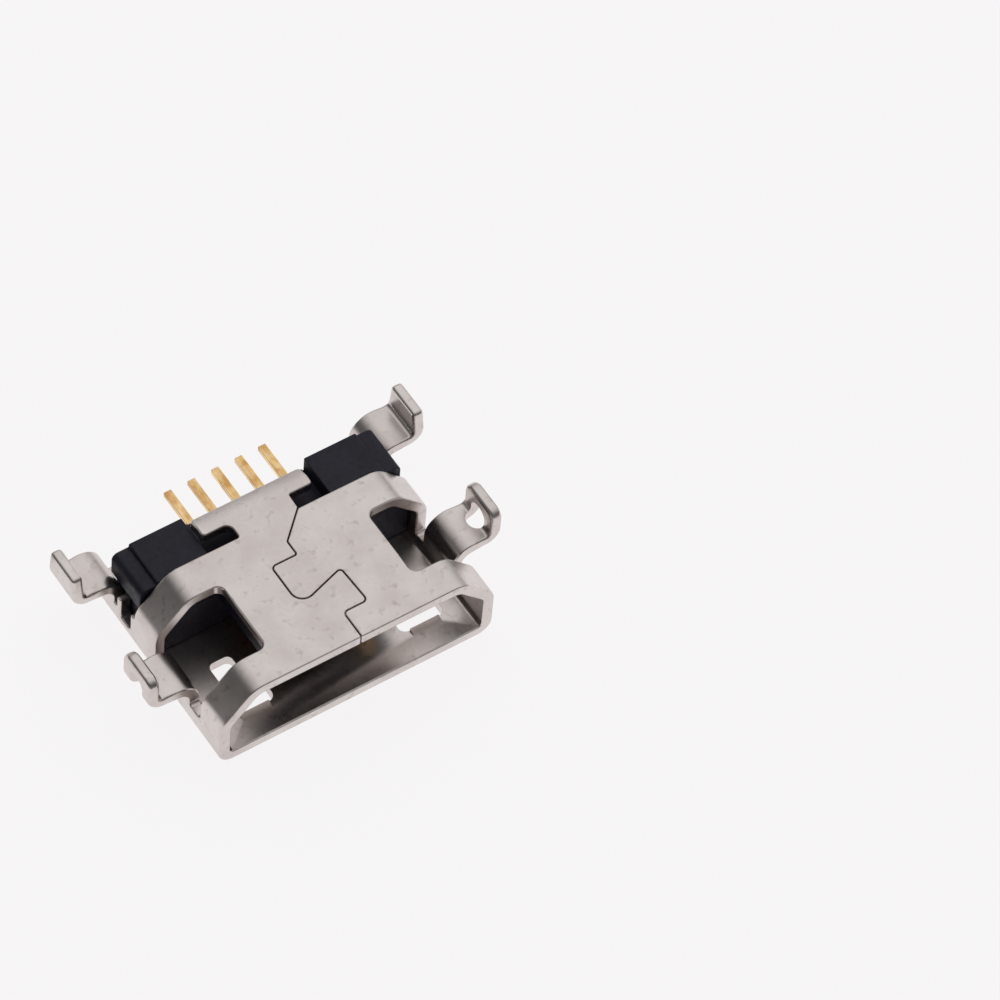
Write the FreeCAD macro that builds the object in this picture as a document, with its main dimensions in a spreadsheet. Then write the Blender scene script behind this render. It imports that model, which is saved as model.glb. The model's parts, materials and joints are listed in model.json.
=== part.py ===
"""A small charging port for a circuit board: a folded metal shell, a moulded housing and five contacts.

Lengths are in millimetres. The port lies on the wide wall of its shell, with the mouth towards -Y and
the contact tails towards +Y. In the sketches y is measured from the mouth and z from the underside of
the wide wall; each finished piece is then moved so that the origin is below the middle of the port.
"""
import FreeCAD
import Part
import os

import Sketcher
from FreeCAD import Vector

SIZES = {
    # The folded tube that a plug enters
    "sheet": 0.30,
    "mouth_width": 6.90,
    "mouth_height": 1.85,
    "side_height": 1.05,
    "narrow_width": 5.46,
    "floor_bend": 0.10,
    "side_bend": 0.30,
    "roof_bend": 0.35,
    "floor_depth": 5.88,
    "roof_depth": 3.82,
    "rail_height": 1.15,
    # The two windows in the upper corners
    "window_lead": 0.48,
    "window_inset": 0.73,
    "window_corner": 0.20,
    # The notches in the side walls, before and behind each ring and before each leg
    "lead_notch_floor": 0.75,
    "notch_width": 0.32,
    "notch_floor": 0.50,
    "notch_corner": 0.12,
    "gap_notch_start": 0.16,
    "gap_notch_width": 0.44,
    "relief_width": 0.14,
    "relief_corner": 0.06,
    # The ring tabs and the plain legs, which fold outwards to the board's face and then up
    "tab_width": 1.08,
    "tab_face": 1.48,
    "root_bend": 0.30,
    "tip_bend": 0.12,
    "ring_front": 1.38,
    "ring_width": 1.20,
    "ring_height": 0.78,
    "ring_corner": 0.30,
    "eye_width": 0.56,
    "eye_depth": 0.57,
    "eye_bar": 0.30,
    "leg_width": 1.16,
    "leg_height": 0.72,
    "leg_taper_width": 0.10,
    "leg_corner": 0.06,
    # The puzzle seam where the two edges of the sheet meet, measured from the rear edge
    "seam_gap": 0.04,
    "seam_inset": 0.03,
    "seam_corner": 0.12,
    "seam_run_length": 0.68,
    "seam_run_width": 0.71,
    "seam_straight_length": 0.42,
    "hook_length": 1.27,
    "hook_width": 0.70,
    "hook_overlap_length": 0.43,
    "knob_length": 1.08,
    "knob_width": 0.66,
    "knob_slant_width": 0.06,
    # The flap behind the narrow wall, over the roots of the contacts
    "neck_length": 0.44,
    "neck_left_width": 0.92,
    "neck_flare_width": 0.02,
    "flap_length": 0.60,
    "flap_lip_length": 0.34,
    "flap_left_gap": 0.04,
    "flap_right_gap": 0.31,
    "flap_drop": 0.12,
    "flap_corner": 0.10,
    "slot_corner": 0.20,
    # The latch windows in the wide wall, with their lead-in lips
    "latch_inset": 1.11,
    "latch_front": 0.76,
    "latch_head_width": 1.20,
    "latch_head_length": 0.64,
    "latch_taper_length": 0.40,
    "latch_tail_width": 0.60,
    "latch_tail_length": 0.53,
    "latch_corner": 0.15,
    "lip_length": 0.20,
    "lip_width": 0.80,
    "lip_drop": 0.08,
    # The cut-outs at the rear of the wide wall, with a pressed step in front of each
    "cut_length": 1.86,
    "cut_inset": 1.31,
    "cut_corner": 0.20,
    "step_length": 0.48,
    "step_top_width": 0.72,
    "step_bottom_width": 0.40,
    "step_drop": 0.20,
    # The strip left between the cut-outs, with its two wings
    "strip_width": 1.16,
    "strip_inset": 0.60,
    "strip_hollow": 0.10,
    "wing_width": 0.60,
    "wing_offset": 0.12,
    "wing_angle": 50.0,
    "wing_length": 1.02,
    "wing_bend": 0.06,
    # The moulded housing
    "housing_gap": 0.03,
    "cavity_depth": 3.20,
    "block_inset": 0.75,
    "block_corner": 0.05,
    "shoulder_overhang_width": 0.13,
    "shoulder_width": 0.46,
    "shoulder_drop": 0.11,
    "shoulder_lift_height": 0.20,
    "shoulder_corner": 0.18,
    "trough_margin": 0.38,
    "trough_cover_thickness": 0.18,
    "ledge_length": 0.19,
    "ledge_overhang_length": 0.25,
    "ledge_drop": 0.06,
    "pocket_lead": 0.30,
    "pocket_margin": 0.18,
    "tongue_front": 1.00,
    "tongue_margin": 0.55,
    "tongue_below_height": 0.12,
    "tongue_above_height": 0.38,
    "tongue_edge": 0.10,
    # The contacts
    "contact_spacing": 0.65,
    "contact_thickness": 0.15,
    "contact_play_gap": 0.01,
    "tail_width": 0.20,
    "tail_length": 0.97,
    "blade_width": 0.34,
    "blade_root_length": 0.40,
    "blade_nose_width": 0.08,
    "blade_nose_length": 0.12,
    "outer_tip_inset": 0.20,
    "inner_tip_inset": 0.50,
}
CONTACTS = 5
MIDDLE = (CONTACTS + 1) / 2

# How far cuts run past the faces that they open, and how far added walls reach into the tube
CLEAR = 1.0
BITE = 0.20

# The share of a slot's half width that its end is rounded by, and how far along a line a corner is picked
ROUND = 0.94
NEAR = 0.1

HALF_MOUTH = "dims.mouth_width / 2"
HALF_SHELL = "(dims.mouth_width / 2 + dims.sheet)"
ROOF = "(dims.mouth_height + 2 * dims.sheet)"
ROOF_INSIDE = "(dims.mouth_height + dims.sheet)"
SLOPE = "atan(2 * (dims.mouth_height - dims.side_height) / (dims.mouth_width - dims.narrow_width))"
HALF_TAB = HALF_SHELL + " + dims.tab_width"
RING_REAR = "(dims.ring_front + dims.ring_width)"
RING_MIDDLE = "(dims.ring_front + dims.ring_width / 2)"
WINDOW_FRONT = "(dims.ring_front - dims.window_lead)"
WINDOW_REAR = RING_REAR + " + dims.notch_width"
TAB_FOOT = "(dims.tab_face - dims.root_bend - 1.1 * dims.sheet)"
LEG_FRONT = "(dims.floor_depth - dims.leg_width)"
RING_TOP = "(dims.tab_face + dims.ring_height)"
LEG_TOP = "(dims.tab_face + dims.leg_height)"
SEAM_END = "(dims.seam_run_width - dims.seam_inset)"
SEAM_BEND = "(dims.roof_depth - dims.seam_run_length)"
HOOK_REAR = SEAM_BEND + " - dims.seam_straight_length"
HOOK_FRONT = HOOK_REAR + " - dims.hook_length"
KNOB_REAR = HOOK_FRONT + " + dims.hook_overlap_length"
KNOB_FRONT = KNOB_REAR + " - dims.knob_length"
FLAP_FRONT = "(dims.roof_depth + dims.neck_length)"
FLAP_REAR = FLAP_FRONT + " + dims.flap_length"
FLAP_FOLD = FLAP_REAR + " - dims.flap_lip_length"
LATCH_PLACE = "(dims.mouth_width / 2 - dims.latch_inset)"
LATCH_SHOULDER = "dims.latch_front + dims.latch_head_length"
LATCH_NECK = LATCH_SHOULDER + " + dims.latch_taper_length"
LATCH_REAR = LATCH_NECK + " + dims.latch_tail_length"
CUT_FRONT = "(dims.floor_depth - dims.cut_length)"
CUT_OUTER = "(dims.mouth_width / 2 - dims.cut_inset)"
HALF_STRIP = "dims.strip_width / 2"
STRIP_REAR = "(dims.floor_depth - dims.strip_inset)"
STEP_PLACE = "(%s + %s) / 2" % (CUT_OUTER, HALF_STRIP)
WING_FRONT = STRIP_REAR + " - dims.wing_width"
WING_ROOT = "(dims.strip_width / 2 + dims.wing_offset)"
WING_ACROSS = "dims.wing_length * cos(dims.wing_angle * 1 deg)"
WING_RISE = "dims.wing_length * sin(dims.wing_angle * 1 deg)"
WALL_ACROSS = "dims.sheet * sin(dims.wing_angle * 1 deg)"
WALL_RISE = "dims.sheet * cos(dims.wing_angle * 1 deg)"
CONTACT_BOTTOM = "(dims.tab_face - dims.contact_thickness)"
HALF_ROW = "%s * dims.contact_spacing" % (CONTACTS - MIDDLE)
HALF_TROUGH = "(%s + dims.trough_margin)" % HALF_ROW
HALF_TONGUE = "(%s + dims.tongue_margin)" % HALF_ROW
TROUGH_FLOOR = "dims.tab_face + dims.trough_cover_thickness"
BLOCK_FRONT = "(dims.roof_depth + dims.housing_gap)"
BLOCK_REAR = "(dims.floor_depth - dims.block_inset)"
HALF_SHOULDER = "(dims.mouth_width / 2 + dims.shoulder_overhang_width)"
SHOULDER_FOOT = "(dims.rail_height + dims.housing_gap)"
SHOULDER_TOP = ROOF_INSIDE + " - dims.shoulder_drop"
LEDGE_REAR = "(%s + dims.ledge_overhang_length)" % BLOCK_REAR
TAIL_END = "(%s + dims.tail_length)" % LEDGE_REAR
BLADE_REAR = "dims.cavity_depth + dims.blade_root_length"

PLANES = {"XY": ("XY_Plane", 1), "XZ": ("XZ_Plane", -1), "YZ": ("YZ_Plane", 1)}

doc = FreeCAD.newDocument("charging_port")
sheet = doc.addObject("Spreadsheet::Sheet", "dims")


def fill_sheet():
    for row, (name, size) in enumerate(SIZES.items(), start=1):
        sheet.set("A%d" % row, name)
        sheet.set("B%d" % row, str(size))
        sheet.setAlias("B%d" % row, name)
    doc.recompute()


def number(expression):
    """The value of an expression in the sheet's sizes."""
    value = sheet.evalExpression(str(expression))
    return float(getattr(value, "Value", value))


def minus(expression):
    return "-(%s)" % expression


def plus(*expressions):
    return " + ".join("(%s)" % part for part in expressions)


def mirrored(corners):
    """The same outline on the other side of the port's middle."""
    return [(minus(corner[0]),) + tuple(corner[1:]) for corner in corners]


def both_sides(corners):
    return [corners, mirrored(corners)]


def box(low_u, low_v, high_u, high_v, corner=None):
    """A rectangle's corners, each with the same rounding."""
    round_off = () if corner is None else (corner,)
    places = ((low_u, low_v), (high_u, low_v), (high_u, high_v), (low_u, high_v))
    return [place + round_off for place in places]


def draw(sketch, corners, closed=True):
    """Draws straight lines through the corners and rounds each corner that names a radius."""
    places = [Vector(number(corner[0]), number(corner[1]), 0) for corner in corners]
    count = len(places)
    lines = count if closed else count - 1
    first = sketch.GeometryCount
    for index in range(lines):
        sketch.addGeometry(Part.LineSegment(places[index], places[(index + 1) % count]), False)
    joints = range(count) if closed else range(1, count - 1)
    for index in joints:
        before = first + (index - 1) % count
        sketch.addConstraint(Sketcher.Constraint("Coincident", before, 2, first + index, 1))
    for index, corner in enumerate(corners):
        line, end = (index, 1) if index < lines else (index - 1, 2)
        for axis, kind in enumerate(("DistanceX", "DistanceY")):
            rule = Sketcher.Constraint(kind, first + line, end, places[index][axis])
            bind(sketch, rule, "place_%d_%d_%d" % (first, index, axis), corner[axis])
    for index in joints:
        if len(corners[index]) > 2:
            around = (places[index - 1], places[index], places[(index + 1) % count])
            round_corner(sketch, first + (index - 1) % count, first + index, around, corners[index][2])


def round_corner(sketch, before, after, around, radius):
    last, corner, following = around
    near_before = corner + (last - corner) * NEAR
    near_after = corner + (following - corner) * NEAR
    count = sketch.GeometryCount
    sketch.fillet(before, after, near_before, near_after, number(radius), True, True)
    for index in range(count, sketch.GeometryCount):
        if isinstance(sketch.Geometry[index], Part.ArcOfCircle):
            rule = Sketcher.Constraint("Radius", index, number(radius))
            bind(sketch, rule, "radius_%d" % index, radius)


def bind(sketch, rule, name, expression):
    place = sketch.addConstraint(rule)
    sketch.renameConstraint(place, name)
    sketch.setExpression("Constraints." + name, str(expression))


def new_body(name):
    body = doc.addObject("PartDesign::Body", name)
    body.Label = name
    return body


def new_sketch(body, name, plane, start, outlines):
    """A sketch on a plane of the body's own origin, moved along that plane's axis to start."""
    role, sign = PLANES[plane]
    origin_plane = [part for part in body.Origin.OriginFeatures if part.Role == role][0]
    sketch = body.newObject("Sketcher::SketchObject", name + "_outline")
    sketch.AttachmentSupport = (origin_plane, [""])
    sketch.MapMode = "FlatFace"
    sketch.setExpression("AttachmentOffset.Base.z", "%d * (%s)" % (sign, start))
    doc.recompute()
    for corners in outlines:
        draw(sketch, corners)
    return sketch


def add(body, name, plane, start, length, outlines):
    """Adds the outlines' solids, from start towards the plane's positive side."""
    sketch = new_sketch(body, name, plane, start, outlines)
    pad = body.newObject("PartDesign::Pad", name)
    pad.Profile = sketch
    pad.setExpression("Length", str(length))
    pad.Reversed = plane == "XZ"
    doc.recompute()
    return pad


def cut(body, name, plane, start, length, outlines):
    """Cuts the outlines away, from start towards the plane's positive side."""
    before = body.Shape.Volume
    sketch = new_sketch(body, name, plane, start, outlines)
    pocket = body.newObject("PartDesign::Pocket", name)
    pocket.Profile = sketch
    pocket.setExpression("Length", str(length))
    pocket.Reversed = plane != "XZ"
    doc.recompute()
    if not body.Shape.Volume < before:
        raise RuntimeError(name + " cuts nothing")
    return pocket


def cut_floor(body, name, outlines):
    """Cuts the outlines through the wide wall."""
    cut(body, name, "XY", "-%s" % CLEAR, "dims.sheet + %s" % CLEAR, outlines)


def cut_sides(body, name, start, length, outline):
    """Cuts a side view's outline away on the right and, mirrored, on the left."""
    cut(body, name + "_right", "YZ", start, length, [outline])
    cut(body, name + "_left", "YZ", minus(plus(start, length)), length, [outline])


def edges_along(shape, direction, places):
    """The names of the straight edges along a direction that pass through one of the places."""
    names = []
    for index, edge in enumerate(shape.Edges, start=1):
        if edge.Curve.TypeId != "Part::GeomLine":
            continue
        if abs(abs(edge.Curve.Direction.dot(direction)) - 1) > 1e-6:
            continue
        for place in places:
            gap = edge.Vertexes[0].Point - place
            if (gap - direction * gap.dot(direction)).Length < 1e-4:
                names.append("Edge%d" % index)
                break
    return names


def soften(body, name, kind, size, direction, places):
    """Rounds or bevels the edges that pass through the places."""
    names = edges_along(body.Tip.Shape, direction, places)
    if not names:
        raise RuntimeError(name + " finds no edge")
    base = body.Tip
    feature = body.newObject("PartDesign::" + kind, name)
    feature.Base = (base, names)
    feature.setExpression("Radius" if kind == "Fillet" else "Size", size)
    doc.recompute()


def tube_outline(offset, bend):
    """The shell's cross-section, moved outwards by offset, with bends bend larger than the inner ones."""
    half = plus(HALF_MOUTH, offset)
    low = "dims.sheet - (%s)" % offset
    shoulder = "dims.sheet + dims.side_height + (%s) * tan((90 deg - %s) / 2)" % (offset, SLOPE)
    roof_half = "dims.narrow_width / 2 + (%s) * tan(%s / 2)" % (offset, SLOPE)
    roof = plus(ROOF_INSIDE, offset)
    right = [
        (half, low, "dims.floor_bend + (%s)" % bend),
        (half, shoulder, "dims.side_bend + (%s)" % bend),
        (roof_half, roof, "dims.roof_bend + (%s)" % bend),
    ]
    return right + mirrored(right)[::-1]


def tab_outline(top):
    """A side tab seen from the mouth: up the wall, outwards at the board's face, then up again."""
    outer_root = "dims.root_bend + dims.sheet"
    outer_tip = "dims.tip_bend + dims.sheet"
    under = "dims.tab_face - dims.sheet"
    inside = "%s - dims.sheet" % HALF_TAB
    return [
        (HALF_MOUTH, TAB_FOOT),
        (HALF_SHELL, TAB_FOOT),
        (HALF_SHELL, under, "dims.root_bend"),
        (HALF_TAB, under, outer_tip),
        (HALF_TAB, top),
        (inside, top),
        (inside, "dims.tab_face", "dims.tip_bend"),
        (HALF_MOUTH, "dims.tab_face", outer_root),
    ]


def fold_tube(shell):
    add(shell, "tube", "XZ", "0", "dims.floor_depth",
        [tube_outline("dims.sheet", "dims.sheet"), tube_outline("0", "0")])
    reach = "(%s + %s)" % (HALF_SHELL, CLEAR)
    past = "dims.floor_depth + %s" % CLEAR
    above = "%s + %s" % (ROOF, CLEAR)
    open_rear = box("dims.roof_depth", "dims.rail_height", past, above)
    cut(shell, "open_rear", "YZ", minus(reach), "2 * " + reach, [open_rear])


def cut_windows(shell):
    side = "dims.narrow_width / 2 - dims.window_inset"
    reach = "%s + %s" % (HALF_SHELL, CLEAR)
    window = [
        (side, WINDOW_FRONT, "dims.window_corner"),
        (reach, WINDOW_FRONT),
        (reach, WINDOW_REAR),
        (side, WINDOW_REAR, "dims.window_corner"),
    ]
    cut(shell, "windows", "XY", "dims.rail_height", ROOF, both_sides(window))


def cut_notches(shell):
    """Notches that part the tabs from the side walls, each as front, rear, floor and corner radius."""
    gap = "(dims.roof_depth + dims.gap_notch_start)"
    notches = [
        (WINDOW_FRONT, "dims.ring_front", "dims.lead_notch_floor", "dims.notch_corner"),
        (RING_REAR, WINDOW_REAR, "dims.notch_floor", "dims.notch_corner"),
        (gap, gap + " + dims.gap_notch_width", "dims.notch_floor", "dims.notch_corner"),
        (LEG_FRONT + " - dims.relief_width", LEG_FRONT, "dims.lead_notch_floor", "dims.relief_corner"),
    ]
    for index, (front, rear, floor, corner) in enumerate(notches, start=1):
        notch = [
            (front, "dims.rail_height + dims.sheet / 2"),
            (front, floor, corner),
            (rear, floor, corner),
            (rear, "dims.rail_height + dims.sheet / 2"),
        ]
        cut_sides(shell, "notch_%d" % index, HALF_MOUTH + " - dims.sheet / 2", "2 * dims.sheet", notch)


def fold_tabs(shell, name, front, rear, top):
    """A pair of tabs in place of the side walls' upper edges."""
    root = box(front, TAB_FOOT, rear, "%s + dims.sheet" % top)
    cut_sides(shell, name + "_root", HALF_MOUTH + " - dims.sheet / 2", "2 * dims.sheet", root)
    add(shell, name, "XZ", front, "%s - (%s)" % (rear, front), both_sides(tab_outline(top)))


def fold_rings(shell):
    fold_tabs(shell, "rings", "dims.ring_front", RING_REAR, RING_TOP)
    radius = "dims.eye_width / 2"
    rounding = "%s * %s" % (ROUND, radius)
    front = "%s - %s" % (RING_MIDDLE, radius)
    rear = "%s + %s" % (RING_MIDDLE, radius)
    inner = HALF_TAB + " - dims.eye_depth"
    outer = HALF_TAB + " + dims.sheet"
    flat_eye = [
        (inner, front, rounding),
        (outer, front),
        (outer, rear),
        (inner, rear, rounding),
    ]
    low = "dims.tab_face - 2 * dims.sheet"
    cut(shell, "flat_eyes", "XY", low, "2 * dims.sheet + dims.tip_bend", both_sides(flat_eye))
    upright_eye = [
        (front, "dims.tab_face + dims.tip_bend / 2"),
        (rear, "dims.tab_face + dims.tip_bend / 2"),
        (rear, RING_TOP + " - dims.eye_bar", rounding),
        (front, RING_TOP + " - dims.eye_bar", rounding),
    ]
    start = HALF_TAB + " - 1.5 * dims.sheet - dims.tip_bend"
    cut_sides(shell, "upright_eye", start, "3 * dims.sheet", upright_eye)
    tops = [Vector(0, number(place), number(RING_TOP)) for place in ("dims.ring_front", RING_REAR)]
    soften(shell, "ring_corners", "Fillet", "dims.ring_corner", Vector(1, 0, 0), tops)


def fold_legs(shell):
    fold_tabs(shell, "legs", LEG_FRONT, "dims.floor_depth", LEG_TOP)
    front = LEG_FRONT + " + dims.leg_taper_width"
    rear = "dims.floor_depth - dims.leg_taper_width / 2"
    start = HALF_TAB + " - 1.5 * dims.sheet"
    for name, line, tip, out in (("front", LEG_FRONT, front, -1), ("rear", "dims.floor_depth", rear, 1)):
        taper = [
            (line, "dims.tab_face + dims.tip_bend"),
            (tip, LEG_TOP),
            (tip, LEG_TOP + " + dims.sheet"),
            ("%s + %d * dims.sheet" % (line, out), LEG_TOP + " + dims.sheet"),
            ("%s + %d * dims.sheet" % (line, out), "dims.tab_face + dims.tip_bend"),
        ]
        cut_sides(shell, "leg_taper_" + name, start, "2 * dims.sheet", taper)
    ends = (front, rear)
    tops = [Vector(0, number(place), number(LEG_TOP)) for place in ends]
    soften(shell, "leg_corners", "Fillet", "dims.leg_corner", Vector(1, 0, 0), tops)


def fold_flap(shell):
    """A neck behind the left half of the narrow wall, widening to a flap whose rear edge dips."""
    start = "dims.roof_depth - %s" % BITE
    seam_side = SEAM_END + " + dims.seam_gap / 2"
    left = "-(%s - dims.flap_left_gap)" % HALF_TROUGH
    right = HALF_TROUGH + " - dims.flap_right_gap"
    plan = [
        ("-dims.neck_left_width", start),
        (seam_side, start),
        (seam_side, "dims.roof_depth"),
        (seam_side + " + dims.neck_flare_width", FLAP_FRONT, "dims.flap_corner / 2"),
        (right, FLAP_FRONT, "dims.flap_corner"),
        (right, FLAP_FOLD),
        (left, FLAP_FOLD),
        (left, FLAP_FRONT, "dims.flap_corner"),
        ("-dims.neck_left_width", FLAP_FRONT, "dims.slot_corner"),
    ]
    add(shell, "flap", "XY", ROOF_INSIDE, "dims.sheet", [plan])
    dip = [
        (FLAP_FOLD, ROOF_INSIDE),
        (FLAP_REAR, ROOF_INSIDE + " - dims.flap_drop"),
        (FLAP_REAR, ROOF + " - dims.flap_drop"),
        (FLAP_FOLD, ROOF),
    ]
    add(shell, "flap_dip", "YZ", left, "%s - (%s)" % (right, left), [dip])
    corners = [Vector(number(side), number(FLAP_REAR), 0) for side in (left, right)]
    soften(shell, "flap_corners", "Fillet", "dims.flap_corner", Vector(0, 0, 1), corners)


def cut_latches(shell):
    head_in = LATCH_PLACE + " - dims.latch_head_width / 2"
    head_out = LATCH_PLACE + " + dims.latch_head_width / 2"
    tail_in = LATCH_PLACE + " - dims.latch_tail_width / 2"
    tail_out = LATCH_PLACE + " + dims.latch_tail_width / 2"
    beside_lip = "(dims.latch_head_width - dims.lip_width) / 2"
    keyhole = [
        (head_in, "dims.latch_front", beside_lip),
        (head_out, "dims.latch_front", beside_lip),
        (head_out, LATCH_SHOULDER, "dims.latch_corner"),
        (tail_out, LATCH_NECK, "dims.latch_corner"),
        (tail_out, LATCH_REAR, "dims.latch_corner"),
        (tail_in, LATCH_REAR, "dims.latch_corner"),
        (tail_in, LATCH_NECK, "dims.latch_corner"),
        (head_in, LATCH_SHOULDER, "dims.latch_corner"),
    ]
    cut_floor(shell, "latches", both_sides(keyhole))
    lip_in = LATCH_PLACE + " - dims.lip_width / 2"
    lip_out = LATCH_PLACE + " + dims.lip_width / 2"
    lip_front = "dims.latch_front - dims.lip_length"
    slot = box(lip_in, lip_front, lip_out, "dims.latch_front + dims.sheet / 10")
    cut_floor(shell, "lip_slots", both_sides(slot))
    lip = [
        (lip_front, "0"),
        ("dims.latch_front", "dims.lip_drop"),
        ("dims.latch_front", "dims.lip_drop + dims.sheet"),
        (lip_front, "dims.sheet"),
    ]
    add(shell, "lip_right", "YZ", lip_in, "dims.lip_width", [lip])
    add(shell, "lip_left", "YZ", minus(lip_out), "dims.lip_width", [lip])


def cut_rear_floor(shell):
    """Two cut-outs, open to the rear, with a shorter strip left between them, hollowed at its end."""
    half = [
        (HALF_STRIP, STRIP_REAR),
        (HALF_STRIP, CUT_FRONT, "dims.cut_corner"),
        (CUT_OUTER, CUT_FRONT, "dims.cut_corner"),
        (CUT_OUTER, "dims.floor_depth + %s" % CLEAR),
    ]
    hollow = [("0", STRIP_REAR + " - dims.strip_hollow", HALF_STRIP)]
    cut_floor(shell, "rear_cuts", [half + mirrored(half)[::-1] + hollow])


def press_steps(shell):
    """A short step pressed inwards in front of each cut-out, with sloping sides."""
    front = CUT_FRONT + " - dims.step_length"
    top_in = STEP_PLACE + " - dims.step_top_width / 2"
    top_out = STEP_PLACE + " + dims.step_top_width / 2"
    slot = box(top_in, front, top_out, CUT_FRONT + " + dims.sheet")
    cut_floor(shell, "step_slots", both_sides(slot))
    bottom_in = STEP_PLACE + " - dims.step_bottom_width / 2"
    bottom_out = STEP_PLACE + " + dims.step_bottom_width / 2"
    step = [
        (top_in, "0"),
        (bottom_in, "dims.step_drop"),
        (bottom_out, "dims.step_drop"),
        (top_out, "0"),
        (top_out, "dims.sheet"),
        (bottom_out, "dims.step_drop + dims.sheet"),
        (bottom_in, "dims.step_drop + dims.sheet"),
        (top_in, "dims.sheet"),
    ]
    add(shell, "steps", "XZ", front, "dims.step_length", both_sides(step))


def fold_wings(shell):
    """The middle strip's two wings, folded up into the housing's pockets."""
    tip = "%s + %s" % (WING_ROOT, WING_ACROSS)
    wing = [
        (HALF_STRIP + " / 2", "0"),
        (WING_ROOT, "0", "dims.wing_bend + dims.sheet"),
        (tip, WING_RISE),
        ("%s - %s" % (tip, WALL_ACROSS), "%s + %s" % (WING_RISE, WALL_RISE)),
        (WING_ROOT + " - dims.sheet * tan(dims.wing_angle * 0.5 deg)", "dims.sheet", "dims.wing_bend"),
        (HALF_STRIP + " / 2", "dims.sheet"),
    ]
    add(shell, "wings", "XZ", WING_FRONT, "dims.wing_width", both_sides(wing))


def seam_path():
    """The seam from the mouth to past the rear edge: a knob to the right, a hook to the left, a slant."""
    right = "dims.seam_inset"
    left = "-dims.seam_inset"
    knob = "dims.seam_inset + dims.knob_width"
    hook = "-(dims.seam_inset + dims.hook_width)"
    past = "(%s) / 4" % BITE
    return [
        (right, "-%s" % BITE),
        (right, KNOB_FRONT, "dims.seam_corner"),
        (knob, KNOB_FRONT, "dims.seam_corner"),
        (knob + " - dims.knob_slant_width", KNOB_REAR, "0.75 * dims.seam_corner"),
        (hook, HOOK_FRONT, "2.5 * dims.seam_corner"),
        (hook, HOOK_REAR, "dims.seam_corner"),
        (left, HOOK_REAR, "dims.seam_corner / 2"),
        (left, SEAM_BEND, "dims.seam_corner"),
        (SEAM_END, "dims.roof_depth"),
        (SEAM_END + " + dims.seam_run_width * " + past, "dims.roof_depth + dims.seam_run_length * " + past),
    ]


def cut_seam(shell):
    """Parts the narrow wall along the seam's path, which is widened to both sides."""
    path = doc.addObject("Sketcher::SketchObject", "seam_path")
    path.setExpression("Placement.Base.z", ROOF_INSIDE + " - dims.sheet / 2")
    doc.recompute()
    draw(path, seam_path(), closed=False)
    doc.recompute()
    band = doc.addObject("Part::Offset2D", "seam_band")
    band.Source = path
    band.Mode = "Pipe"
    band.Join = "Arc"
    band.Fill = False
    band.setExpression("Value", "dims.seam_gap / 2")
    doc.recompute()
    knife = doc.addObject("Part::Extrusion", "seam_knife")
    knife.Base = band
    knife.DirMode = "Custom"
    knife.Dir = Vector(0, 0, 1)
    knife.Solid = True
    knife.FaceMakerClass = "Part::FaceMakerBullseye"
    knife.setExpression("LengthFwd", "2 * dims.sheet")
    doc.recompute()
    parted = doc.addObject("Part::Cut", "shell_piece")
    parted.Base = shell
    parted.Tool = knife
    doc.recompute()
    return parted


def make_shell():
    shell = new_body("shell_sheet")
    fold_tube(shell)
    cut_windows(shell)
    fold_rings(shell)
    fold_legs(shell)
    cut_notches(shell)
    fold_flap(shell)
    cut_latches(shell)
    cut_rear_floor(shell)
    press_steps(shell)
    fold_wings(shell)
    piece = cut_seam(shell)
    piece.Label = "shell"
    return piece


def make_housing():
    housing = new_body("housing")
    mould_blocks(housing)
    cut_trough(housing)
    cut_pockets(housing)
    mould_tongue(housing)
    for index in range(1, CONTACTS + 1):
        cut_contact_seat(housing, index)
    return housing


def mould_blocks(housing):
    """The plug that fills the rear of the tube, and behind it the wider blocks."""
    gap = "dims.housing_gap"
    low = "dims.sheet + dims.housing_gap"
    half = "%s - dims.housing_gap" % HALF_MOUTH
    add(housing, "plug", "XZ", "dims.cavity_depth", "%s - dims.cavity_depth" % BLOCK_REAR,
        [tube_outline(minus(gap), "0")])
    block_side = HALF_SHOULDER + " - dims.shoulder_width"
    right = [
        (half, low, "dims.floor_bend"),
        (half, SHOULDER_FOOT),
        (HALF_SHOULDER, SHOULDER_FOOT + " + dims.shoulder_lift_height"),
        (HALF_SHOULDER, SHOULDER_TOP, "dims.shoulder_corner"),
        (block_side, SHOULDER_TOP),
        (block_side, ROOF_INSIDE, "dims.block_corner"),
    ]
    add(housing, "blocks", "XZ", BLOCK_FRONT, "%s - %s" % (BLOCK_REAR, BLOCK_FRONT),
        [right + mirrored(right)[::-1]])


def cut_trough(housing):
    """The sunken middle under the flap, which ends in a low ledge behind the blocks."""
    low = "dims.sheet + dims.housing_gap"
    start = "%s - %s" % (BLOCK_REAR, BITE)
    step = LEDGE_REAR + " - dims.ledge_length"
    top = "dims.tab_face - dims.ledge_drop"
    trough = box(minus(HALF_TROUGH), TROUGH_FLOOR, HALF_TROUGH, "%s + %s" % (ROOF, CLEAR))
    cut(housing, "trough", "XZ", BLOCK_FRONT, "%s + %s - %s" % (BLOCK_REAR, CLEAR, BLOCK_FRONT), [trough])
    ledge = [
        (start, low),
        (LEDGE_REAR, low),
        (LEDGE_REAR, top, "dims.block_corner"),
        (step, top),
        (step, TROUGH_FLOOR),
        (start, TROUGH_FLOOR),
    ]
    add(housing, "ledge", "YZ", minus(HALF_TROUGH), "2 * %s" % HALF_TROUGH, [ledge])


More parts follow.
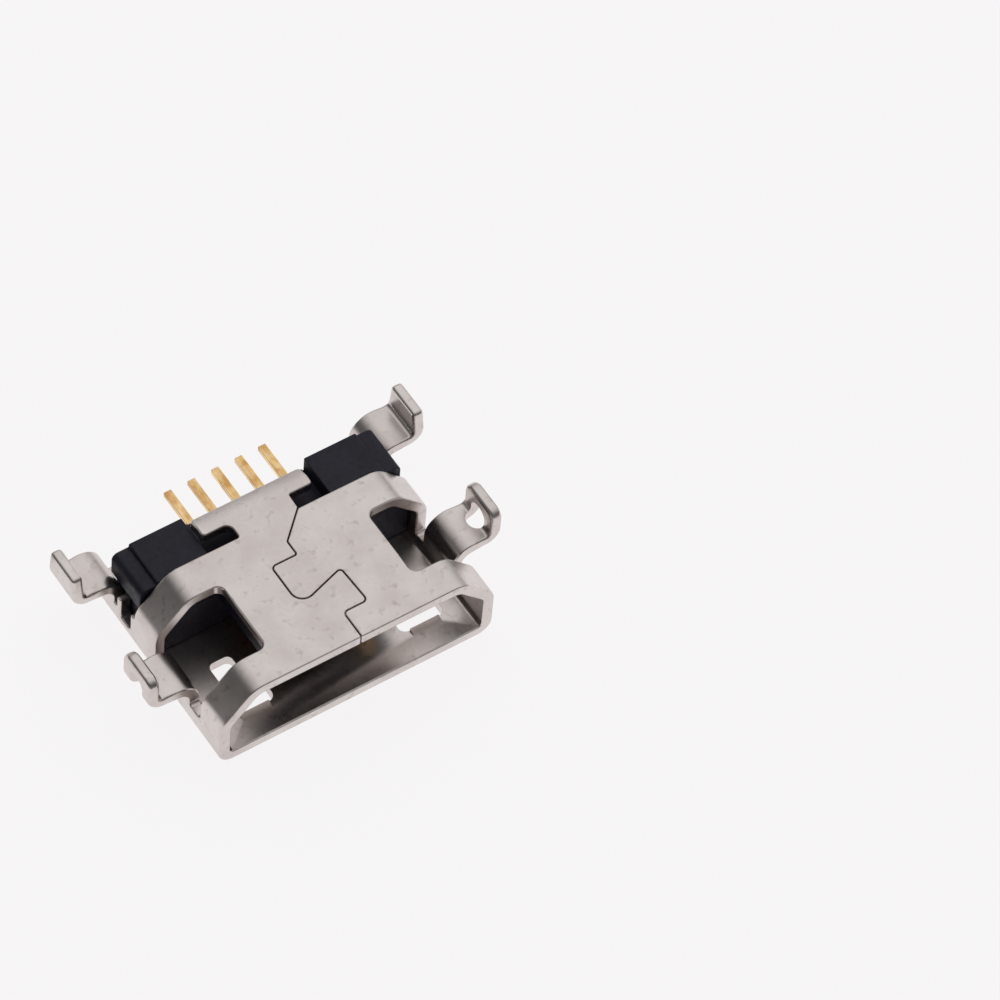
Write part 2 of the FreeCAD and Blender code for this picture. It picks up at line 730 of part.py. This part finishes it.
def cut_pockets(housing):
    """Pockets for the wings, open below and behind, and shallow grooves over the pressed steps."""
    front = WING_FRONT + " - dims.pocket_lead"
    inner = "%s - dims.sheet * tan(dims.wing_angle * 0.5 deg) - dims.pocket_margin" % WING_ROOT
    outer = "%s + %s + dims.pocket_margin" % (WING_ROOT, WING_ACROSS)
    top = "%s + %s + dims.pocket_margin" % (WING_RISE, WALL_RISE)
    pocket = box(inner, front, outer, "%s + %s" % (LEDGE_REAR, CLEAR))
    cut(housing, "pockets", "XY", "0", top, both_sides(pocket))
    half = "(dims.step_top_width / 2 + 2 * dims.housing_gap)"
    groove_front = CUT_FRONT + " - dims.step_length - dims.housing_gap"
    groove = box("%s - %s" % (STEP_PLACE, half), groove_front, "%s + %s" % (STEP_PLACE, half),
                 front + " + dims.housing_gap")
    cut(housing, "grooves", "XY", "0", "dims.sheet + dims.step_drop + dims.housing_gap", both_sides(groove))


def mould_tongue(housing):
    """The tongue that stands in the mouth and carries the contacts along its underside."""
    bottom = "dims.tab_face - dims.tongue_below_height"
    top = "dims.tab_face + dims.tongue_above_height"
    length = "dims.cavity_depth + %s - dims.tongue_front" % BITE
    tongue = box(minus(HALF_TONGUE), bottom, HALF_TONGUE, top, "dims.tongue_edge")
    add(housing, "tongue", "XZ", "dims.tongue_front", length, [tongue])
    edges = [Vector(0, number("dims.tongue_front"), number(level)) for level in (bottom, top)]
    soften(housing, "tongue_lead", "Chamfer", "dims.tongue_edge", Vector(1, 0, 0), edges)


def contact_place(index):
    return "%s * dims.contact_spacing" % (index - MIDDLE)


def contact_tip(index):
    inset = "dims.outer_tip_inset" if index in (1, CONTACTS) else "dims.inner_tip_inset"
    return "dims.tongue_front + " + inset


def contact_outline(index, play):
    """A contact from above, grown by play: a wide blade with a bevelled nose, then a narrow tail."""
    blade = "dims.blade_width / 2 + (%s)" % play
    tail = "dims.tail_width / 2 + (%s)" % play
    tip = "%s - (%s)" % (contact_tip(index), play)
    neck = "%s + (%s)" % (BLADE_REAR, play)
    end = "%s + (%s)" % (TAIL_END, play)
    right = [
        (blade + " - dims.blade_nose_width", tip),
        (blade, tip + " + dims.blade_nose_length"),
        (blade, neck),
        (tail, neck),
        (tail, end),
    ]
    return right + mirrored(right)[::-1]


def cut_contact_seat(housing, index):
    place = contact_place(index)
    seat = [(plus(corner[0], place), corner[1]) for corner in contact_outline(index, "dims.contact_play_gap")]
    low = "%s - dims.contact_play_gap" % CONTACT_BOTTOM
    cut(housing, "seat_%d" % index, "XY", low, "dims.contact_thickness + 2 * dims.contact_play_gap", [seat])


def make_contact(index):
    contact = new_body("contact_%d" % index)
    outline = contact_outline(index, "0")
    add(contact, "strip_%d" % index, "XY", CONTACT_BOTTOM, "dims.contact_thickness", [outline])
    return contact


def check(pieces):
    """Stops if any object failed to recompute or any piece is not one sound solid."""
    for item in doc.Objects:
        if "Invalid" in item.State or "Error" in item.State:
            raise RuntimeError("%s failed: %s" % (item.Name, item.State))
    for piece in pieces:
        shape = piece.Shape
        if shape.isNull() or not shape.isValid() or len(shape.Solids) != 1:
            raise RuntimeError("%s is not one sound solid" % piece.Label)


def main():
    fill_sheet()
    shell = make_shell()
    housing = make_housing()
    contacts = [make_contact(index) for index in range(1, CONTACTS + 1)]
    pieces = [shell, housing] + contacts
    for piece in pieces:
        piece.setExpression("Placement.Base.y", "-(%s) / 2" % TAIL_END)
    for index, contact in enumerate(contacts, start=1):
        contact.setExpression("Placement.Base.x", contact_place(index))
    doc.recompute()
    check(pieces)
    os.makedirs("parts", exist_ok=True)
    for piece in pieces:
        piece.Shape.exportStep("parts/%s.step" % piece.Label)
        print(piece.Label, round(piece.Shape.Volume, 4), piece.Shape.BoundBox)


main()
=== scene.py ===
import json
import math

import bmesh
import bpy
from mathutils import Matrix, Vector


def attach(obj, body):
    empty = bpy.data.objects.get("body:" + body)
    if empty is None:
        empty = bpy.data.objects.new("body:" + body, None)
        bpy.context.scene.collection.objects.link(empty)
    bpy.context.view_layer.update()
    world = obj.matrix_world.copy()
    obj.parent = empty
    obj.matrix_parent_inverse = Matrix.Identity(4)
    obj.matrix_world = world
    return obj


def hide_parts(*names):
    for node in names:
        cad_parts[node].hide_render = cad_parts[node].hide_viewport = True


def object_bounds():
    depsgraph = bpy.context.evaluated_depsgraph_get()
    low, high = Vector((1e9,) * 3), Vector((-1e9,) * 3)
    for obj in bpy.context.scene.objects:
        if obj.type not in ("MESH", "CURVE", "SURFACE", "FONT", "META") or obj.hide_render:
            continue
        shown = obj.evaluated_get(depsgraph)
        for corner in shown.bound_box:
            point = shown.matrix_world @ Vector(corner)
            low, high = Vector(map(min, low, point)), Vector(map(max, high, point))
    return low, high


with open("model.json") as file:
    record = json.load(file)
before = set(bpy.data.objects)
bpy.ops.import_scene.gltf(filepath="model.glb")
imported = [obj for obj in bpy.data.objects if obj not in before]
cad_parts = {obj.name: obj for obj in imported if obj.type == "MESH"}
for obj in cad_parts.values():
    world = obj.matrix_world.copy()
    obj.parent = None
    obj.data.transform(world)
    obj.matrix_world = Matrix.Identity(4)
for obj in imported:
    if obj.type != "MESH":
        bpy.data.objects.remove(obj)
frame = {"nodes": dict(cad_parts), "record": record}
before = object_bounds()

# The camera's lens and sensor in millimetres, its angles, and its place and its limits of sight in
# metres; the place is told from the foot of the mouth
LENS = 268.574
SENSOR = 36
AROUND = math.radians(-37.643)
ABOVE = math.radians(54.611)
TILT = math.radians(-5.725)
DISTANCE = 0.173471
SIDEWAYS = 0.003341
UPWARDS = 0.004564
MOUTH = Vector((0, before[0][1], 0))
NEAREST = 0.01
FARTHEST = 5

# The studio is bright overhead, to the right and behind, and dark low down on the left and in
# front. A direction is brighter the further it goes along the lean, between two limits
LIGHT_LEAN = (0.5, 0.35, 1.0)
DIM_UNTIL = 0.35
BRIGHT_FROM = 1.12
DIM = 0.115
BRIGHT = 0.80

# The lamp's place and width in metres, and its power in watts
LAMP_PLACE = Vector((0.16, 0.20, 0.36))
LAMP_WIDTH = 0.30
LAMP_POWER = 0.02

# The floor's half width and its depth below the port, in metres, and how it is seen
FLOOR_HALF = 1.0
FLOOR_DEPTH = 0.000005
FLOOR_COLOUR = (0.86, 0.86, 0.865, 1)
FLOOR_GLOW = (1.0, 0.985, 0.99, 1)
GLOW_SHARE = 0.88

# The colours of the finishes
NICKEL = (0.715, 0.663, 0.638)
CLOUDED_NICKEL = (0.645, 0.583, 0.558)
STAINED_NICKEL = (0.36, 0.30, 0.27)
MOULDING = (0.014, 0.014, 0.029)
DARK_MOULDING = (0.009, 0.009, 0.020)
GOLD = (0.96, 0.70, 0.36)
WORN_GOLD = (0.66, 0.37, 0.12)

# The lengths from here on are in millimetres: half the span over the tabs, the height of the port
# and the thickness of the shell's sheet
PER_METRE = 1000
HALF_SPAN = PER_METRE * before[1][0]
HEIGHT = PER_METRE * before[1][2]
SHEET = 0.3

# Vertices closer than this are one, faces at less than this angle are one, and a face is upright
# where its normal rises by less than this
CLOSE = 0.001
FLAT = math.radians(0.4)
UPRIGHT = 0.1

# Edges sharper than this are rounded, over a width for each slot and in a few steps
SHARP = math.radians(28)
ROUNDING = {"shell": 0.095, "housing": 0.025, "contact": 0.012}
ROUNDING_STEPS = 3

# The shell's edges have these shares of its width, but along the flats of the tabs, between two
# distances from the middle, the first share grows to the whole in a number of parts
EDGE_SHARE = 0.5
SEAM_SHARE = 0.3
HOLE_SHARE = 0.08
FLAT_START = 4.05
FLAT_END = 4.41
FLAT_PARTS = 8

# How far each wall of the seam is moved into its gap, and how many times as far a corner may go
SEAM_CLOSING = 0.008
CORNER_LIMIT = 2

# Boxes around the seam's walls, the hole in a ring tab and a latch window. Each is given by two
# corners, for the right half of the port, and mirrored on the left
SEAM = ((-1, -3.17, HEIGHT - SHEET - CLOSE), (0.76, 0.64, 3))
RING_HOLE = ((4.2, -1.49, 0), (5, -0.9, 1.97))
LATCH_WINDOW = ((1.7, -2.66, -1), (3, -0.8, 0.5))

# Slivers at the ends of a ring tab's hole: their distance from the middle of the port, the hole's
# ends along it, their height, and how far they reach
HOLE_SIDE = 4.518
HOLE_ENDS = (-1.475, -0.915)
HOLE_HEIGHT = 1.549
HOLE_REACH = (0.007, 0.003, 0.012)

# Slivers on the wide wall's middle strip, which the wings flank: its side, where the wings' bends
# start, where it ends, and how far the slivers reach on its outside, on its inside and at its end
STRIP_SIDE = 0.58
BEND_START = 1.505
STRIP_END = 2.105
OUTSIDE_REACH = (0.005, 0.005, 0.005)
INSIDE_REACH = (0.055, 0.005, 0.03)
END_REACH = (0.055, 0.012, 0.01)

# The top corners of a plain leg: its front and rear, its top, and how far the arcs there reach
LEG_ENDS = (1.645, 2.655)
LEG_TOP = 2.2
LEG_REACH = (0.01, 0.065, 0.06)


def camera_axes():
    """The camera's right, up and backward directions."""
    outward = Vector((math.sin(AROUND), -math.cos(AROUND), 0))
    back = math.cos(ABOVE) * outward + Vector((0, 0, math.sin(ABOVE)))
    level = Vector((math.cos(AROUND), math.sin(AROUND), 0))
    rise = back.cross(level)
    right = math.cos(TILT) * level - math.sin(TILT) * rise
    up = math.sin(TILT) * level + math.cos(TILT) * rise
    return right, up, back


def place_camera():
    """Looks at the port from where the photograph was taken."""
    right, up, back = camera_axes()
    data = bpy.data.cameras.new("camera")
    data.lens = LENS
    data.sensor_width = SENSOR
    data.clip_start = NEAREST
    data.clip_end = FARTHEST
    camera = bpy.data.objects.new("camera", data)
    bpy.context.scene.collection.objects.link(camera)
    place = MOUTH + SIDEWAYS * right + UPWARDS * up + DISTANCE * back
    turn = Matrix((right, up, back)).transposed()
    camera.matrix_world = Matrix.Translation(place) @ turn.to_4x4()
    bpy.context.scene.camera = camera


def node(tree, kind, values=(), **settings):
    """A shader node with its settings and input values."""
    made = tree.nodes.new(kind)
    for name, value in settings.items():
        setattr(made, name, value)
    for name, value in dict(values).items():
        made.inputs[name].default_value = value
    return made


def link(tree, source, output, target, entry):
    """Joins one node's output to another's input."""
    tree.links.new(source.outputs[output], target.inputs[entry])


def new_material(name):
    """A material, its node tree and its main shader."""
    material = bpy.data.materials.new(name)
    material.use_nodes = True
    tree = material.node_tree
    return material, tree, tree.nodes["Principled BSDF"]


def noise(tree, scale, detail, roughness=0.5, stretch=(1, 1, 1)):
    """A noise pattern that is fixed to the object; scale is in repeats per millimetre."""
    repeats = [PER_METRE * scale * part for part in stretch]
    place = node(tree, "ShaderNodeTexCoord")
    size = node(tree, "ShaderNodeMapping", {"Scale": repeats})
    pattern = node(tree, "ShaderNodeTexNoise", {"Scale": 1, "Detail": detail, "Roughness": roughness})
    link(tree, place, "Object", size, "Vector")
    link(tree, size, "Vector", pattern, "Vector")
    return pattern


def ramp(tree, source, low, high, start=0, end=1):
    """Maps the source's value from low-high to start-end, held at both ends."""
    ends = {"From Min": low, "From Max": high, "To Min": start, "To Max": end}
    made = node(tree, "ShaderNodeMapRange", ends)
    link(tree, source, 0, made, "Value")
    return made


def blend(tree, factor, first, second):
    """The output of a mix of two colours, each of them a colour or the output of another mix."""
    mix = node(tree, "ShaderNodeMix", data_type="RGBA")
    link(tree, factor, 0, mix, "Factor")
    entries = [socket for socket in mix.inputs if socket.type == "RGBA"]
    for entry, colour in zip(entries, (first, second)):
        if isinstance(colour, bpy.types.NodeSocket):
            tree.links.new(colour, entry)
        else:
            entry.default_value = (*colour, 1)
    return [socket for socket in mix.outputs if socket.type == "RGBA"][0]


def metal():
    """Nickel plate on stamped sheet, with cloudy patches, small stains and a fine grain."""
    material, tree, shader = new_material("nickel_sheet")
    shader.inputs["Metallic"].default_value = 1
    cloud = ramp(tree, noise(tree, scale=1.1, detail=5, roughness=0.65), low=0.38, high=0.62)
    base = blend(tree, cloud, CLOUDED_NICKEL, NICKEL)
    stain = ramp(tree, noise(tree, scale=4.5, detail=2), low=0.58, high=0.78, end=0.5)
    base = blend(tree, stain, base, STAINED_NICKEL)
    tree.links.new(base, shader.inputs["Base Color"])
    gloss = ramp(tree, noise(tree, scale=1.5, detail=3), low=0.3, high=0.7, start=0.27, end=0.33)
    link(tree, gloss, 0, shader, "Roughness")
    bump = node(tree, "ShaderNodeBump", {"Strength": 0.25, "Distance": 2e-6})
    link(tree, noise(tree, scale=25, detail=3), 0, bump, "Height")
    link(tree, bump, 0, shader, "Normal")
    return material


def plastic():
    """Black moulding with a fine matte surface."""
    material, tree, shader = new_material("black_moulding")
    tone = ramp(tree, noise(tree, scale=1.5, detail=4), low=0.35, high=0.65)
    tree.links.new(blend(tree, tone, DARK_MOULDING, MOULDING), shader.inputs["Base Color"])
    shader.inputs["Specular IOR Level"].default_value = 0.32
    gloss = ramp(tree, noise(tree, scale=8, detail=4), low=0.3, high=0.7, start=0.42, end=0.58)
    link(tree, gloss, 0, shader, "Roughness")
    bump = node(tree, "ShaderNodeBump", {"Strength": 0.3, "Distance": 4e-6})
    link(tree, noise(tree, scale=18, detail=4, roughness=0.6), 0, bump, "Height")
    link(tree, bump, 0, shader, "Normal")
    return material


def gold():
    """Gold plate that is worn in streaks along the contacts."""
    material, tree, shader = new_material("gold_plate")
    shader.inputs["Metallic"].default_value = 1
    streaks = noise(tree, scale=4, detail=4, roughness=0.6, stretch=(1, 0.5, 1))
    wear = ramp(tree, streaks, low=0.38, high=0.62)
    tree.links.new(blend(tree, wear, WORN_GOLD, GOLD), shader.inputs["Base Color"])
    gloss = ramp(tree, noise(tree, scale=6, detail=4), low=0.3, high=0.7, start=0.22, end=0.38)
    link(tree, gloss, 0, shader, "Roughness")
    return material


def within(place, box):
    """Whether a place, or its mirror image on the right half of the port, is in a box."""
    low, high = box
    mirrored = (abs(place.x), place.y, place.z)
    return all(low[axis] < mirrored[axis] < high[axis] for axis in range(3))


def join_near(shape, place, reach):
    """Joins the vertices around a place, in both halves of the port, at that place."""
    low = [middle - away for middle, away in zip(place, reach)]
    high = [middle + away for middle, away in zip(place, reach)]
    for side in (-1, 1):
        half = [vertex for vertex in shape.verts if side * vertex.co.x > 0]
        near = [vertex for vertex in half if within(vertex.co, (low, high))]
        target = Vector((side * place[0], place[1], place[2]))
        bmesh.ops.pointmerge(shape, verts=near, merge_co=target)


def split_strip(shape):
    """Splits the long edges of the wide wall's middle strip where the wings' bends start."""
    for edge in list(shape.edges):
        first, last = sorted(edge.verts, key=lambda vertex: vertex.co.y)
        beside = all(abs(abs(vertex.co.x) - STRIP_SIDE) < CLOSE for vertex in edge.verts)
        below = all(vertex.co.z < CLOSE for vertex in edge.verts)
        if beside and below and first.co.y < BEND_START - CLOSE and last.co.y > BEND_START + CLOSE:
            share = (BEND_START - first.co.y) / (last.co.y - first.co.y)
            bmesh.utils.edge_split(edge, first, share)


def join_slivers(shape):
    """Joins slivers at the holes in the ring tabs and beside the wings, so that edges round well."""
    for end in HOLE_ENDS:
        join_near(shape, (HOLE_SIDE, end, HOLE_HEIGHT), HOLE_REACH)
    split_strip(shape)
    join_near(shape, (STRIP_SIDE, BEND_START, 0), OUTSIDE_REACH)
    join_near(shape, (STRIP_SIDE, BEND_START, SHEET), INSIDE_REACH)
    join_near(shape, (STRIP_SIDE, STRIP_END, 0), END_REACH)


def sharpen_legs(shape):
    """Squares the top corners of the plain legs, whose arcs the rounding replaces."""
    for face in (HALF_SPAN - SHEET, HALF_SPAN):
        for end in LEG_ENDS:
            join_near(shape, (face, end, LEG_TOP), LEG_REACH)


def split_flats(shape):
    """Splits the ends of the tabs' flats into short lengths, along which the rounding can grow."""
    for edge in list(shape.edges):
        first, last = sorted(edge.verts, key=lambda vertex: abs(vertex.co.x))
        starts = abs(abs(first.co.x) - FLAT_START) < CLOSE
        ends = abs(abs(last.co.x) - FLAT_END) < CLOSE
        straight = abs(first.co.y - last.co.y) < CLOSE
        if starts and ends and straight and edge.calc_face_angle(0) > SHARP:
            for left in range(FLAT_PARTS, 1, -1):
                first = bmesh.utils.edge_split(edge, first, 1 / left)[1]


def close_seam(shape):
    """Brings the two walls of the seam almost together."""
    normals = {}
    for face in shape.faces:
        if abs(face.normal.z) < UPRIGHT and within(face.calc_center_median(), SEAM):
            for vertex in face.verts:
                normals.setdefault(vertex, []).append(face.normal.copy())
    for vertex, around in normals.items():
        mean = sum(around, Vector()).normalized()
        share = max(min(mean.dot(normal) for normal in around), 1 / CORNER_LIMIT)
        vertex.co += mean * (SEAM_CLOSING / share)


def rounding_share(middle):
    """The share of the shell's rounding at an edge whose middle is given."""
    if within(middle, SEAM):
        return SEAM_SHARE
    if within(middle, RING_HOLE) or within(middle, LATCH_WINDOW):
        return HOLE_SHARE
    part = (FLAT_END - FLAT_START) / FLAT_PARTS
    growth = (abs(middle.x) - FLAT_START - part) / (FLAT_END - FLAT_START - 2 * part)
    return EDGE_SHARE + (1 - EDGE_SHARE) * min(max(growth, 0), 1)


def weigh_edges(shape, name):
    """Marks each sharp edge with its share of the rounding."""
    weights = shape.edges.layers.float.new("bevel_weight_edge")
    for edge in shape.edges:
        if edge.calc_face_angle(0) >= SHARP:
            middle = (edge.verts[0].co + edge.verts[1].co) / 2
            edge[weights] = rounding_share(middle) if name == "shell" else 1


def marked_mesh(name):
    """A copy of a node's solid in millimetres, with its sharp edges marked."""
    mesh = frame["nodes"][name].data.copy()
    mesh.transform(Matrix.Scale(PER_METRE, 4))
    shape = bmesh.new()
    shape.from_mesh(mesh)
    bmesh.ops.remove_doubles(shape, verts=shape.verts, dist=CLOSE)
    bmesh.ops.dissolve_limit(shape, angle_limit=FLAT, verts=shape.verts, edges=shape.edges)
    if name == "shell":
        join_slivers(shape)
        sharpen_legs(shape)
        split_flats(shape)
        close_seam(shape)
    weigh_edges(shape, name)
    for face in shape.faces:
        face.smooth = True
    shape.to_mesh(mesh)
    shape.free()
    normals = mesh.attributes.get("custom_normal")
    if normals:
        mesh.attributes.remove(normals)
    return mesh


def dress(name, slot, finish):
    """Puts a copy of a node's solid, with its edges rounded and in its finish, in the node's place."""
    piece = bpy.data.objects.new(name + "_piece", marked_mesh(name))
    bpy.context.scene.collection.objects.link(piece)
    round_off = piece.modifiers.new("round_off", "BEVEL")
    round_off.width = ROUNDING[slot]
    round_off.segments = ROUNDING_STEPS
    round_off.limit_method = "WEIGHT"
    round_off.use_clamp_overlap = False
    round_off.harden_normals = True
    round_off.miter_outer = "MITER_ARC"
    evaluated = piece.evaluated_get(bpy.context.evaluated_depsgraph_get())
    rounded = bpy.data.meshes.new_from_object(evaluated)
    rounded.transform(Matrix.Scale(1 / PER_METRE, 4))
    piece.modifiers.clear()
    piece.data = rounded
    rounded.materials.clear()
    rounded.materials.append(finish)
    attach(piece, "root")
    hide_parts(name)


def light_world():
    """Lights the port from all around; to the camera itself the surroundings are white."""
    world = bpy.data.worlds.new("studio")
    bpy.context.scene.world = world
    world.use_nodes = True
    tree = world.node_tree
    back = tree.nodes["Background"]
    back.inputs["Color"].default_value = (1, 1, 1, 1)
    place = node(tree, "ShaderNodeTexCoord")
    lean = node(tree, "ShaderNodeVectorMath", {1: LIGHT_LEAN}, operation="DOT_PRODUCT")
    link(tree, place, "Generated", lean, 0)
    ends = {"From Min": DIM_UNTIL, "From Max": BRIGHT_FROM, "To Min": DIM, "To Max": BRIGHT}
    level = node(tree, "ShaderNodeMapRange", ends, interpolation_type="SMOOTHSTEP")
    link(tree, lean, "Value", level, "Value")
    path = node(tree, "ShaderNodeLightPath")
    white = node(tree, "ShaderNodeMix", {"B": 1}, data_type="FLOAT")
    link(tree, path, "Is Camera Ray", white, "Factor")
    link(tree, level, 0, white, "A")
    link(tree, white, 0, back, "Strength")


def floor_material():
    """A pale floor that looks evenly lit when seen by itself, in a reflection or through a piece."""
    material, tree, shader = new_material("pale_floor")
    shader.inputs["Base Color"].default_value = FLOOR_COLOUR
    shader.inputs["Roughness"].default_value = 0.9
    shader.inputs["Specular IOR Level"].default_value = 0.1
    glow = node(tree, "ShaderNodeEmission", {"Color": FLOOR_GLOW, "Strength": 1})
    path = node(tree, "ShaderNodeLightPath")
    mirrored = node(tree, "ShaderNodeMath", operation="MAXIMUM")
    link(tree, path, "Is Camera Ray", mirrored, 0)
    link(tree, path, "Is Glossy Ray", mirrored, 1)
    seen = node(tree, "ShaderNodeMath", operation="MAXIMUM")
    link(tree, mirrored, 0, seen, 0)
    link(tree, path, "Is Transmission Ray", seen, 1)
    share = node(tree, "ShaderNodeMath", {1: GLOW_SHARE}, operation="MULTIPLY")
    link(tree, seen, 0, share, 0)
    mix = node(tree, "ShaderNodeMixShader")
    link(tree, share, 0, mix, 0)
    link(tree, shader, 0, mix, 1)
    link(tree, glow, 0, mix, 2)
    link(tree, mix, 0, tree.nodes["Material Output"], "Surface")
    return material


def lay_floor():
    """Lays the floor just below the port, so that the two don't share a plane."""
    corners = [(-1, -1), (1, -1), (1, 1), (-1, 1)]
    places = [(FLOOR_HALF * x, FLOOR_HALF * y, -FLOOR_DEPTH) for x, y in corners]
    mesh = bpy.data.meshes.new("floor")
    mesh.from_pydata(places, [], [(0, 1, 2, 3)])
    mesh.materials.append(floor_material())
    floor = bpy.data.objects.new("floor", mesh)
    bpy.context.scene.collection.objects.link(floor)


def place_lamp():
    """Adds a soft lamp behind and to the right of the port, turned towards it."""
    data = bpy.data.lights.new("softbox", "AREA")
    data.shape = "SQUARE"
    data.size = LAMP_WIDTH
    data.energy = LAMP_POWER
    lamp = bpy.data.objects.new("softbox", data)
    bpy.context.scene.collection.objects.link(lamp)
    turn = LAMP_PLACE.to_track_quat("Z", "Y").to_matrix()
    lamp.matrix_world = Matrix.Translation(LAMP_PLACE) @ turn.to_4x4()


bpy.context.scene.view_settings.view_transform = "Standard"
place_camera()
light_world()
lay_floor()
place_lamp()
finishes = {"shell": metal(), "housing": plastic(), "contact": gold()}
for part in frame["record"]["subparts"]:
    slot = part["material_slot"]
    dress(part["node"], slot, finishes[slot])
